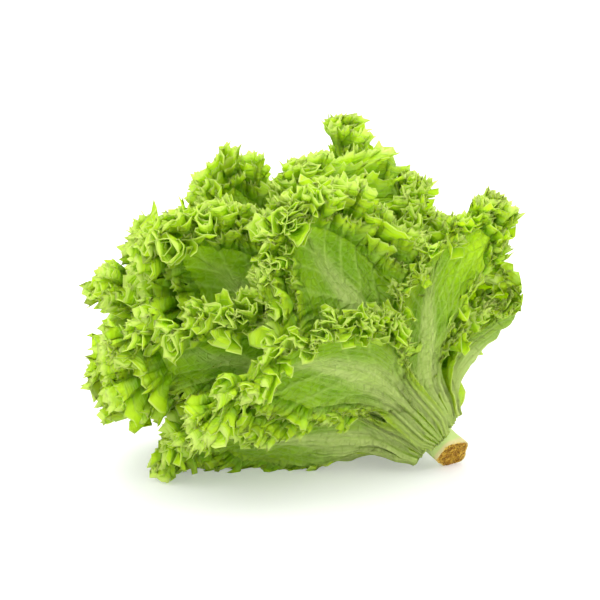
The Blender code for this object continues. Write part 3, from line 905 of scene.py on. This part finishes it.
def frill_tree():
    tree, inputs = new_tree("leaf frill", FRILL_INPUTS)
    level, reach, fold, edge = (named_value(tree, name) for name in ("level", "reach", "fold", "edge"))
    lift = named_value(tree, "fold_lift")
    fold_size = maths(tree, "ABSOLUTE", lift)
    grown = eased(tree, reach, *FRILL_GROWS)
    length = product(tree, reach, grown)

    ruffle = edge_wave(tree, inputs, "Ruffle", level, length, inputs["Smooth Blade"])
    curl = edge_wave(tree, inputs, "Curl", level, length, inputs["Smooth Blade"])
    folds = edge_wave(tree, inputs, "Fold", fold, fold_size)
    crimp = edge_wave(tree, inputs, "Crimp", fold, fold_size)
    tooth = edge_wave(tree, inputs, "Tooth", edge, grown)

    # The blade puckers, its side veins stand out, and its stalk is ribbed lengthwise.
    place = named_value(tree, "place", "FLOAT_VECTOR")
    bumps = maths(tree, "SUBTRACT", noise(tree, place, PUCKER_SCALE, 2.0, 0.55), 0.5)
    bumps = product(tree, bumps, inputs["Pucker Depth"], grown, eased(tree, level, 0.05, 0.35))
    ridge = vein_lines(tree, named_value(tree, "vein"), VEIN_SHARPNESS)
    ridge = product(tree, ridge, inputs["Vein Depth"],
                    eased(tree, level, 0.9, 0.2), eased(tree, reach, 0.03, 0.08))
    fanned = maths(tree, "COSINE", product(tree, named_value(tree, "fan"), RIDGES * FULL_TURN))
    stalk = eased(tree, named_value(tree, "share"), 0.95, 0.25)
    near_rib = eased(tree, level, 0.9, 0.5)
    ridge = summed(tree, ridge, product(tree, fanned, inputs["Ridge Depth"], stalk, near_rib))

    # The blade's waves shrink to the room between the leaves, and move out where there is none inwards.
    room_in, room_out = named_value(tree, "room_in"), named_value(tree, "room_out")
    needed = summed(tree, ruffle.size, product(tree, curl.size, CURL_ROOM), LEAST_SIZE)
    room = maths(tree, "DIVIDE", summed(tree, room_in, room_out), product(tree, needed, 2.0))
    room = maths(tree, "MINIMUM", room, 1.0)
    needed = product(tree, needed, room)
    shift_out = maths(tree, "MAXIMUM", maths(tree, "SUBTRACT", needed, room_in), 0.0)
    shift_in = maths(tree, "MAXIMUM", maths(tree, "SUBTRACT", needed, room_out), 0.0)
    shift = product(tree, maths(tree, "SUBTRACT", shift_out, shift_in), SHIFT_SHARE)

    # The folds lie down where the next leaf covers them.
    faces_out = maths(tree, "GREATER_THAN", lift, 0.0)
    inwards = summed(tree, room_in, shift)
    free = wired(tree, "ShaderNodeMix", faces_out, inwards, room_out, data_type="FLOAT").outputs[0]
    free = maths(tree, "DIVIDE", free, summed(tree, product(tree, fold_size, FOLD_ROOM), LEAST_SIZE))
    free = maths(tree, "MINIMUM", maths(tree, "MAXIMUM", free, 0.0), 1.0)
    stand = product(tree, lift, maths(tree, "POWER", fold, FOLD_RISE))
    on_fold = product(tree, summed(tree, stand, folds.out, crimp.out), free)
    on_blade = product(tree, summed(tree, ruffle.out, curl.out), room)
    out = summed(tree, on_blade, shift, on_fold, tooth.out, bumps, ridge)
    side = summed(tree, product(tree, summed(tree, ruffle.lean, curl.lean), room),
                  product(tree, summed(tree, folds.lean, crimp.lean), free), tooth.lean)

    # Every second point of the outermost row is drawn out to the tip of a tooth.
    number = wired(tree, "GeometryNodeInputIndex").outputs[0]
    is_tip = maths(tree, "LESS_THAN", maths(tree, "MODULO", number, TOOTH_POINTS), 0.5)
    at_tip = product(tree, is_tip, grown, grown, eased(tree, edge, 0.97, 1.0))
    height = random_value(tree, "FLOAT", SHORTEST_TOOTH, 1.0, inputs["Seed"])
    jag = product(tree, at_tip, height, inputs["Tooth Length"])
    scatter = random_value(tree, "FLOAT_VECTOR", (-1.0, -1.0, -1.0), (1.0, 1.0, 1.0), inputs["Seed"])
    scattered = scaled(tree, scatter, product(tree, at_tip, inputs["Tooth Spread"]))

    move = scaled(tree, named_value(tree, "outside", "FLOAT_VECTOR"), out)
    move = wired(tree, "ShaderNodeVectorMath", move, scattered, operation="ADD").outputs[0]
    for name, size in (("way", side), ("outward", jag)):
        part = scaled(tree, named_value(tree, name, "FLOAT_VECTOR"), size)
        move = wired(tree, "ShaderNodeVectorMath", move, part, operation="ADD").outputs[0]
    moved = wired(tree, "GeometryNodeSetPosition", inputs["Geometry"], True, None, move)
    close_tree(tree, moved.outputs[0], inputs["Material"])
    return tree


def set_inputs(modifier, values):
    """Sets a Geometry Nodes modifier's inputs by their names, through the sockets' identifiers."""
    by_name = {item.name: item.identifier for item in modifier.node_group.interface.items_tree
               if item.item_type == "SOCKET" and item.in_out == "INPUT"}
    for name, value in values.items():
        modifier[by_name[name]] = value


FRILL_TREE = frill_tree()
print("frill tree:", len(FRILL_TREE.nodes), "nodes")

# %% [markdown]
# ## The leaf's finish
#
# Lettuce is never one green. The rib is nearly white at the root, the blade is a fresh mid green with
# paler veins, and the thin frill lets the light through and turns yellow-green. A Principled shader
# gives the waxy surface, with a fine relief of blisters, veins and fibres, and a Translucent one the
# light that comes through. Every pattern runs on the leaf's own places, so it follows the blade.

# %% Leaf material
BLADE_DEEP = (0.250, 0.520, 0.002, 1.0)
BLADE_FRESH = (0.410, 0.690, 0.004, 1.0)
FRILL_BRIGHT = (0.670, 0.910, 0.026, 1.0)
EDGE_PALE = (0.870, 0.950, 0.340, 1.0)
RIB_PALE = (0.800, 0.930, 0.330, 1.0)
VEIN_PALE = (0.570, 0.790, 0.150, 1.0)
LIGHT_THROUGH = (0.780, 0.970, 0.018, 1.0)
PATCH_SCALE = 30.0
GRAIN_SCALE = 330.0
BLISTER_SCALE = 130.0
NET_SCALE = 190.0
NET_LINE = 0.16
NET_BEND = (0.003, 0.002, 0.0)
FIBRES_ACROSS = 34.0
FIBRES_ALONG = 3.0
VEIN_LINE = 26.0
WAX_ROUGHNESS = 0.42
WAX_SHINE = 0.3
RELIEF_STRENGTH = 0.9
RELIEF_HEIGHT = 0.0012
THROUGH_TINT = 0.75
THROUGH_SHARE = 0.52


def mixed(tree, share, first, second):
    node = wired(tree, "ShaderNodeMix", share, first, second, data_type="RGBA")
    return node.outputs["Result"] if node.outputs["Result"].enabled else node.outputs[2]


def attribute(tree, name):
    return wired(tree, "ShaderNodeAttribute", attribute_name=name).outputs["Fac"]


def new_material(name):
    made = bpy.data.materials.new(name)
    made.use_nodes = True
    made.node_tree.nodes.clear()
    return made, made.node_tree


def leaf_material():
    made, tree = new_material("lettuce leaf")
    place = wired(tree, "ShaderNodeAttribute", attribute_name="place").outputs["Vector"]
    level, rib, share, edge, vein, fan = (
        attribute(tree, name) for name in ("level", "rib", "share", "edge", "vein", "fan"))

    # The patterns: patches of green, a fine grain, blisters, fibres, the net of veins and the side veins.
    patches = noise(tree, place, PATCH_SCALE, 2.0, 0.6)
    grain = noise(tree, place, GRAIN_SCALE, 1.0, 0.5)
    blisters = noise(tree, place, BLISTER_SCALE, 1.0, 0.5)
    across, along = product(tree, fan, FIBRES_ACROSS), product(tree, share, FIBRES_ALONG)
    fibres = noise(tree, wired(tree, "ShaderNodeCombineXYZ", across, along).outputs[0], 1.0, 2.0, 0.6)
    bent = wired(tree, "ShaderNodeVectorMath", grain, NET_BEND, place, operation="MULTIPLY_ADD").outputs[0]
    net = wired(tree, "ShaderNodeTexVoronoi", feature="DISTANCE_TO_EDGE", voronoi_dimensions="2D")
    filled(tree, net, {"Vector": bent, "Scale": NET_SCALE})
    net = eased(tree, net.outputs["Distance"], 0.0, NET_LINE, 1.0, 0.0)
    side_vein = product(tree, vein_lines(tree, vein, VEIN_LINE), eased(tree, level, 0.95, 0.3))
    stalk = product(tree, eased(tree, share, 0.50, 0.05), eased(tree, level, 1.15, 0.25), 0.95)
    pale = maths(tree, "MAXIMUM", eased(tree, rib, 0.015, 0.30), stalk)

    # The colour, from the blade and its frill to the veins, the rib and the palest edge.
    colour = mixed(tree, eased(tree, patches, 0.3, 0.7), BLADE_DEEP, BLADE_FRESH)
    colour = mixed(tree, eased(tree, edge, 0.25, 0.80, 0.0, 1.0), colour, FRILL_BRIGHT)
    streaks = product(tree, eased(tree, fibres, 0.42, 0.62),
                      eased(tree, share, 0.85, 0.35), eased(tree, level, 0.9, 0.4))
    for lines, weight in ((net, 0.50), (side_vein, 0.75), (streaks, 0.80)):
        colour = mixed(tree, product(tree, lines, weight), colour, VEIN_PALE)
    striped = product(tree, pale, eased(tree, fibres, 0.3, 0.7, 0.68, 1.0))
    colour = mixed(tree, striped, colour, RIB_PALE)
    colour = mixed(tree, eased(tree, edge, 0.94, 1.0, 0.0, 0.75), colour, EDGE_PALE)

    weights = ((grain, 0.5), (net, 0.5), (blisters, 4.0), (side_vein, 0.4), (fibres, 1.5))
    relief = summed(tree, *(product(tree, pattern, weight) for pattern, weight in weights))
    bump = wired(tree, "ShaderNodeBump", RELIEF_STRENGTH, RELIEF_HEIGHT)
    filled(tree, bump, {"Height": relief})
    waxy = filled(tree, tree.nodes.new("ShaderNodeBsdfPrincipled"), {
        "Base Color": colour, "Normal": bump.outputs[0],
        "Roughness": WAX_ROUGHNESS, "Specular IOR Level": WAX_SHINE,
    })
    through = wired(tree, "ShaderNodeBsdfTranslucent", mixed(tree, THROUGH_TINT, colour, LIGHT_THROUGH))
    both = wired(tree, "ShaderNodeMixShader", THROUGH_SHARE, waxy.outputs[0], through.outputs[0])
    wired(tree, "ShaderNodeOutputMaterial", both.outputs[0])
    return made


LEAF_FINISH = leaf_material()
print("material:", LEAF_FINISH.name)

# %% [markdown]
# ## Making the leaves
#
# For each leaf the sheets are grown, their frill added by the modifier, and Solidify gives them their
# real thickness, thin at the edge and thick along the rib. The result is taken as a plain mesh, and
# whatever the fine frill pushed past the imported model's box or the table is eased back inside.

# %% Leaves
KEPT_INSIDE = 0.006
TABLE_EASE = 0.0015
FRILL_THICKNESS = 0.00042


def add_object(name, data):
    """A new object of this data in the scene."""
    made = bpy.data.objects.new(name, data)
    bpy.context.scene.collection.objects.link(made)
    return made


def eased_back(values, limit, ease):
    """Values no higher than the limit: those within the ease of it are drawn together smoothly."""
    over = np.maximum(values - (limit - ease), 0.0)
    return np.minimum(values, limit - ease) + ease * (1.0 - np.exp(-over / ease))


def keep_inside(mesh):
    """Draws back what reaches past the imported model's box or the table."""
    points = np.empty(3 * len(mesh.vertices), np.float32)
    mesh.vertices.foreach_get("co", points)
    points = points.reshape(-1, 3)
    low, high = np.array(CAD_BOX[0]), np.array(CAD_BOX[1])
    for axis in range(3):
        points[:, axis] = eased_back(points[:, axis], high[axis], KEPT_INSIDE)
        ease = TABLE_EASE if axis == 2 else KEPT_INSIDE
        points[:, axis] = -eased_back(-points[:, axis], -low[axis], ease)
    mesh.vertices.foreach_set("co", points.ravel())
    mesh.update()


def plain_copy(source, name):
    """The source object's evaluated mesh in a new plain object. The source is removed."""
    graph = bpy.context.evaluated_depsgraph_get()
    evaluated = source.evaluated_get(graph)
    mesh = bpy.data.meshes.new_from_object(evaluated, preserve_all_data_layers=True, depsgraph=graph)
    made = add_object(name, mesh)
    bpy.data.objects.remove(source)
    mesh.name = name
    return made


def make_leaf(leaf, seed):
    """One fine leaf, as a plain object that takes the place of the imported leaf."""
    points, triangles, values, vectors = leaf_sheets(leaf, seed)
    mesh = sheet_mesh(leaf.name + "_sheet", points, triangles, values, vectors)
    sheet = add_object(leaf.name + "_sheet", mesh)
    thick = sheet.vertex_groups.new(name="rib")
    shares = np.round(values["rib"], 2)
    for share in np.unique(shares):
        thick.add(np.flatnonzero(shares == share).tolist(), float(share), "REPLACE")

    frill = sheet.modifiers.new("frill", "NODES")
    frill.node_group = FRILL_TREE
    counts = {name + " Waves": edge_length(leaf) / kind.length for name, kind in WAVE_KINDS.items()}
    small = min(1.0, leaf.width / FULL_WIDTH)
    depths = {name: small * FRILL_INPUTS[name] for name in ("Ruffle Depth", "Curl Depth")}
    set_inputs(frill, {
        "Seed": float(seed), "Smooth Blade": SMOOTH_BLADES.get(leaf.name, 0.0), "Material": LEAF_FINISH,
        **counts, **depths,
    })
    solid = sheet.modifiers.new("thickness", "SOLIDIFY")
    solid.thickness = FRILL_THICKNESS + RIB_THICKNESS
    solid.offset = 0.0
    solid.vertex_group = "rib"
    solid.thickness_vertex_group = FRILL_THICKNESS / solid.thickness

    made = plain_copy(sheet, leaf.name + "_fine")
    keep_inside(made.data)
    made.data.shade_smooth()
    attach(made, "root")
    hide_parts(leaf.name)
    return made


fine_leaves = [make_leaf(leaf, seed) for seed, leaf in enumerate(LEAVES)]
print("triangles in the fine leaves:", sum(len(p.vertices) - 2 for o in fine_leaves for p in o.data.polygons))

# %% [markdown]
# ## The stem and its cut
#
# The stem was cut with a knife and has dried: its middle has gone brown and corky, its skin has stayed
# cream, and the ends of its fibres stand in it as small stubs. The body is turned by rule from the
# packed stem's own radius, with many more rings, and a node tree roughens the cut and scatters the
# fibres over it, which no one would want to place by hand.

# %% Stem
STEM_SIDES = 120
CUT_RINGS = 14
SIDE_RINGS = 46
RING_SPACING = 1.5
STEM_CUT_BULGE = 0.0012
STEM_LOBE_START = 0.6
STEM_CORNERS = 0.07
STEM_CORNER_COUNT = 5.0
STEM_CORNER_START = 1.1
CUT_GRAIN = 330.0
SKIN_GRAIN = 110.0
FIBRES_FROM = 0.08
STEM_INPUTS = {
    "Seed": 3.0, "Cut Roughness": 0.0013, "Skin Roughness": 0.0004, "Fibre Density": 900000.0,
    "Fibre Radius": 0.00038, "Fibre Length": 0.0011,
}

CUT_BROWN = (0.400, 0.190, 0.004, 1.0)
CUT_TAN = (0.700, 0.460, 0.045, 1.0)
CUT_SPECK = (0.150, 0.065, 0.008, 1.0)
SKIN_CREAM = (0.640, 0.570, 0.260, 1.0)
SKIN_GREEN = (0.500, 0.640, 0.200, 1.0)
PATCHES_ON_CUT = 260.0
SPECKS_ON_CUT = 620.0
STEM_ROUGHNESS = 0.7


def stem_body():
    """Points, faces and the values of the stem: the cut's rings from its middle, then the skin's rings."""
    angles = np.linspace(0.0, FULL_TURN, STEM_SIDES, endpoint=False)
    sideways = np.cos(angles)[:, None] * UPPER_RIGHT + np.sin(angles)[:, None] * FRONT
    rings = [(share, 0.0) for share in np.linspace(0.0, 1.0, CUT_RINGS + 1)[1:]]
    heights = STEM_LENGTH * np.linspace(0.0, 1.0, SIDE_RINGS + 1)[1:] ** RING_SPACING
    rings += [(1.0, height) for height in heights]
    points, cut = [], []
    for share, height in rings:
        swell = STEM_SWELL * math.exp(-((height / STEM_SWELL_REACH) ** 2))
        corners = STEM_CORNERS * math.exp(-((height / STEM_CUT_REACH) ** 2))
        outline = 1.0 + swell * np.cos(STEM_LOBES * angles + STEM_LOBE_START)
        outline = outline + corners * np.cos(STEM_CORNER_COUNT * angles + STEM_CORNER_START)
        radius = share * stem_radius(height) * outline
        slant = radius * (STEM_CUT_TILT[0] * np.cos(angles) + STEM_CUT_TILT[1] * np.sin(angles))
        level = height + slant * max(0.0, 1.0 - height / STEM_CUT_REACH) + STEM_CUT_BULGE * (1.0 - share**2)
        points.append(STEM_END + level[:, None] * AXIS + radius[:, None] * sideways)
        cut += [1.0 - share if height == 0.0 else -height / STEM_LENGTH] * STEM_SIDES
    points.append([STEM_END + STEM_CUT_BULGE * AXIS, STEM_END + STEM_LENGTH * AXIS])
    cut += [1.0, -1.0]
    points = np.concatenate(points)
    middle, tip = len(points) - 2, len(points) - 1
    last = (len(rings) - 1) * STEM_SIDES
    faces = []
    for i in range(STEM_SIDES):
        j = (i + 1) % STEM_SIDES
        faces += [(middle, i, j), (last + i, tip, last + j)]
        faces += [(a + i, a + STEM_SIDES + i, a + STEM_SIDES + j, a + j) for a in range(0, last, STEM_SIDES)]
    return points, faces, np.array(cut)


def stem_tree():
    tree, inputs = new_tree("cut stem", STEM_INPUTS)
    cut = named_value(tree, "cut")
    spot = wired(tree, "GeometryNodeInputPosition").outputs[0]
    coarse = maths(tree, "SUBTRACT", noise(tree, spot, CUT_GRAIN, 3.0, 0.65, "3D"), 0.5)
    fine = maths(tree, "SUBTRACT", noise(tree, spot, SKIN_GRAIN, 2.0, 0.5, "3D"), 0.5)
    rough = product(tree, coarse, inputs["Cut Roughness"], eased(tree, cut, -0.02, 0.12, 0.0, 2.0))
    skin = product(tree, fine, inputs["Skin Roughness"], 2.0)
    normal = wired(tree, "GeometryNodeInputNormal").outputs[0]
    move = scaled(tree, normal, summed(tree, rough, skin))
    body = wired(tree, "GeometryNodeSetPosition", inputs["Geometry"], True, None, move).outputs[0]

    spread = wired(tree, "GeometryNodeDistributePointsOnFaces", distribute_method="RANDOM")
    filled(tree, spread, {
        "Mesh": body, "Selection": maths(tree, "GREATER_THAN", cut, FIBRES_FROM),
        "Density": inputs["Fibre Density"], "Seed": inputs["Seed"],
    })
    stub = wired(tree, "GeometryNodeMeshCone", 6, 1, 1)
    filled(tree, stub, {"Radius Bottom": inputs["Fibre Radius"], "Depth": inputs["Fibre Length"]})
    placed = filled(tree, tree.nodes.new("GeometryNodeInstanceOnPoints"), {
        "Points": spread.outputs["Points"], "Instance": stub.outputs["Mesh"],
        "Rotation": spread.outputs["Rotation"],
    })
    both = tree.nodes.new("GeometryNodeJoinGeometry")
    tree.links.new(placed.outputs[0], both.inputs[0])
    tree.links.new(body, both.inputs[0])
    close_tree(tree, both.outputs[0], inputs["Material"])
    return tree


def stem_material():
    made, tree = new_material("cut lettuce stem")
    spot = tree.nodes.new("ShaderNodeTexCoord").outputs["Object"]
    cut = attribute(tree, "cut")
    patches = noise(tree, spot, PATCHES_ON_CUT, 3.0, 0.6, "3D")
    specks = noise(tree, spot, SPECKS_ON_CUT, 2.0, 0.6, "3D")
    brown = mixed(tree, eased(tree, patches, 0.36, 0.60), CUT_BROWN, CUT_TAN)
    brown = mixed(tree, eased(tree, specks, 0.36, 0.50, 0.70, 0.0), brown, CUT_SPECK)
    skin = mixed(tree, eased(tree, cut, -0.04, -0.10), SKIN_CREAM, SKIN_GREEN)
    spread = summed(tree, cut, product(tree, maths(tree, "SUBTRACT", patches, 0.5), 0.30))
    colour = mixed(tree, eased(tree, spread, -0.03, 0.07), skin, brown)
    shader = filled(tree, tree.nodes.new("ShaderNodeBsdfPrincipled"), {
        "Base Color": colour, "Roughness": STEM_ROUGHNESS,
    })
    wired(tree, "ShaderNodeOutputMaterial", shader.outputs[0])
    return made


def make_stem():
    points, faces, cut = stem_body()
    mesh = bpy.data.meshes.new("stem_body")
    mesh.from_pydata(points.tolist(), [], faces)
    mesh.attributes.new("cut", "FLOAT", "POINT").data.foreach_set("value", cut.astype(np.float32))
    corner = points[[face[:3] for face in faces]]
    volume = np.einsum("ij,ij->", corner[:, 0], np.cross(corner[:, 1], corner[:, 2]))
    if volume < 0:
        mesh.flip_normals()
    body = add_object("stem_body", mesh)
    rough = body.modifiers.new("rough cut", "NODES")
    rough.node_group = stem_tree()
    set_inputs(rough, {"Material": stem_material()})
    made = plain_copy(body, "stem_fine")
    keep_inside(made.data)
    made.data.shade_smooth()
    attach(made, "root")
    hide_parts("stem")
    return made


fine_stem = make_stem()
print("faces in the fine stem:", len(fine_stem.data.polygons))

# %% [markdown]
# ## The floor, the light and the camera
#
# The photograph is a product shot on white, with soft light from all round and only a faint shadow under
# the head. So a white studio gives most of the light here, a weak key lights the upper left, and a
# stronger light from behind shines through the frill. The camera is far away and slightly raised.

# %% Floor, light and camera
PIXEL = 0.000667
STEM_PIXEL = (453, 455)
PHOTO_MIDDLE = 300
CAMERA_RISE = 13.0
CAMERA_DISTANCE = 1.6
SENSOR = 36.0

WHITE = (1.0, 1.0, 1.0, 1.0)
FLOOR_HALF = 12.0
FLOOR_WHITE = (0.66, 0.66, 0.66, 1.0)
FLOOR_ROUGHNESS = 0.6
FLOOR_GLOW = 0.32
WORLD_AT_HORIZON = 1.10
WORLD_OVERHEAD = 1.99

# Each light's place, its size across and its power in watts. All of them point at the same place.
Light = namedtuple("Light", "name place size power")
LIGHTS = (
    Light("key", (-0.9, -1.0, 1.5), 0.9, 3.5),
    Light("top", (0.3, 0.25, 1.7), 1.2, 1.0),
    Light("back", (-0.3, 1.5, 1.3), 1.4, 14.0),
)
LIT_PLACE = Vector((0.0, 0.0, 0.1))


def add_floor():
    mesh = bpy.data.meshes.new("floor")
    corners = [(x * FLOOR_HALF, y * FLOOR_HALF, 0) for x, y in ((-1, -1), (1, -1), (1, 1), (-1, 1))]
    mesh.from_pydata(corners, [], [(0, 1, 2, 3)])
    floor = add_object("floor", mesh)
    made, tree = new_material("white floor")
    shader = filled(tree, tree.nodes.new("ShaderNodeBsdfPrincipled"), {
        "Base Color": FLOOR_WHITE, "Roughness": FLOOR_ROUGHNESS,
        "Emission Color": WHITE, "Emission Strength": FLOOR_GLOW,
    })
    wired(tree, "ShaderNodeOutputMaterial", shader.outputs[0])
    mesh.materials.append(made)


def add_light(name, place, size, power):
    data = bpy.data.lights.new(name, "AREA")
    data.shape = "DISK"
    data.size = size
    data.energy = power
    light = add_object(name, data)
    light.location = place
    light.rotation_euler = (LIT_PLACE - light.location).to_track_quat("-Z", "Y").to_euler()


def add_camera():
    """The camera that sees the stem's end at the photograph's pixel for it."""
    data = bpy.data.cameras.new("camera")
    rise = math.radians(CAMERA_RISE)
    back = Vector((0.0, -math.cos(rise), math.sin(rise)))
    up = Vector((0.0, math.sin(rise), math.cos(rise)))
    right = Vector((1, 0, 0))
    from_stem = (PHOTO_MIDDLE - STEM_PIXEL[0]) * right + (STEM_PIXEL[1] - PHOTO_MIDDLE) * up
    data.sensor_width = SENSOR
    data.lens = SENSOR * CAMERA_DISTANCE / (2 * PHOTO_MIDDLE * PIXEL)
    camera = add_object("camera", data)
    camera.location = Vector(STEM_END) + PIXEL * from_stem + CAMERA_DISTANCE * back
    camera.rotation_euler = (math.radians(90.0) - rise, 0.0, 0.0)
    bpy.context.scene.camera = camera


def white_world():
    """A white studio, brighter overhead than at the horizon."""
    world = bpy.data.worlds.new("white studio")
    world.use_nodes = True
    tree = world.node_tree
    direction = tree.nodes.new("ShaderNodeTexCoord").outputs["Generated"]
    height = wired(tree, "ShaderNodeSeparateXYZ", direction).outputs["Z"]
    strength = wired(tree, "ShaderNodeMapRange", height, 0.0, 1.0, WORLD_AT_HORIZON, WORLD_OVERHEAD)
    filled(tree, tree.nodes["Background"], {"Color": WHITE, "Strength": strength.outputs[0]})
    bpy.context.scene.world = world


add_floor()
for light in LIGHTS:
    add_light(*light)
add_camera()
white_world()
bpy.context.scene.view_settings.view_transform = "Standard"
print("lights:", ", ".join(light.name for light in LIGHTS))
